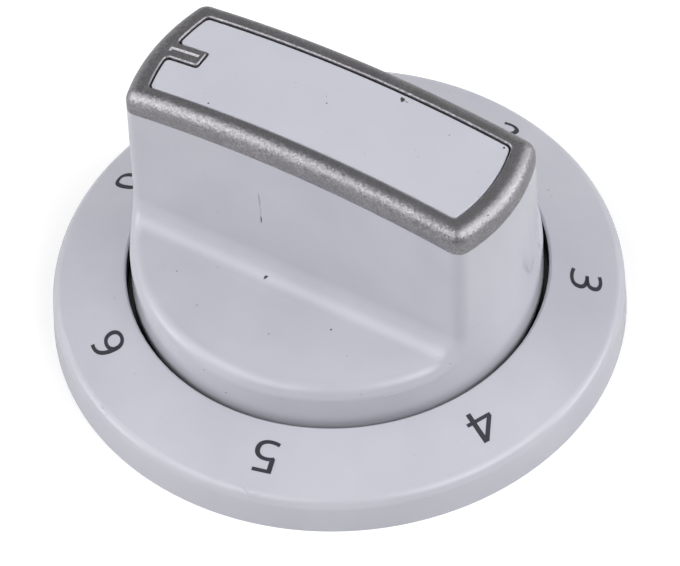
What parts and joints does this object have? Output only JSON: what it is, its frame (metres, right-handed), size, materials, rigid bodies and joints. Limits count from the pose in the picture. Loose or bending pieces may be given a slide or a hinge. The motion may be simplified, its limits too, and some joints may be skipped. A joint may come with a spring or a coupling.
{
  "type": "oven control knob",
  "caption": "Turning selector knob for an oven: white drum with a tall silver-framed grip and a grooved pointer, set in a fixed conical dial ring.",
  "frame": {"origin": "centre of the dial ring's rear rim, on the shaft's axis", "axes": "+Z along the shaft, away from the fascia; +Y towards the pointer and the dial's zero"},
  "size_m": [0.06, 0.06, 0.0306],
  "materials": {
    "ring_plastic": "polished moulding",
    "knob_plastic": "polished moulding",
    "silver_lacquer": "metal-flake silver lacquer on moulded plastic",
    "panel_plastic": "satin moulding",
    "spring_steel": "rolled and hardened strip"
  },
  "bodies": {
    "dial": {"dial_ring": "ring_plastic"},
    "knob": {"knob_body": "knob_plastic", "trim_frame": "silver_lacquer", "top_panel": "panel_plastic", "shaft_clip": "spring_steel"}
  },
  "joints": [
    {"name": "knob_turn", "type": "hinge", "parent": "dial", "child": "knob", "pos_m": [0, 0, 0], "axis": [0, 0, -1], "continuous": true}
  ]
}
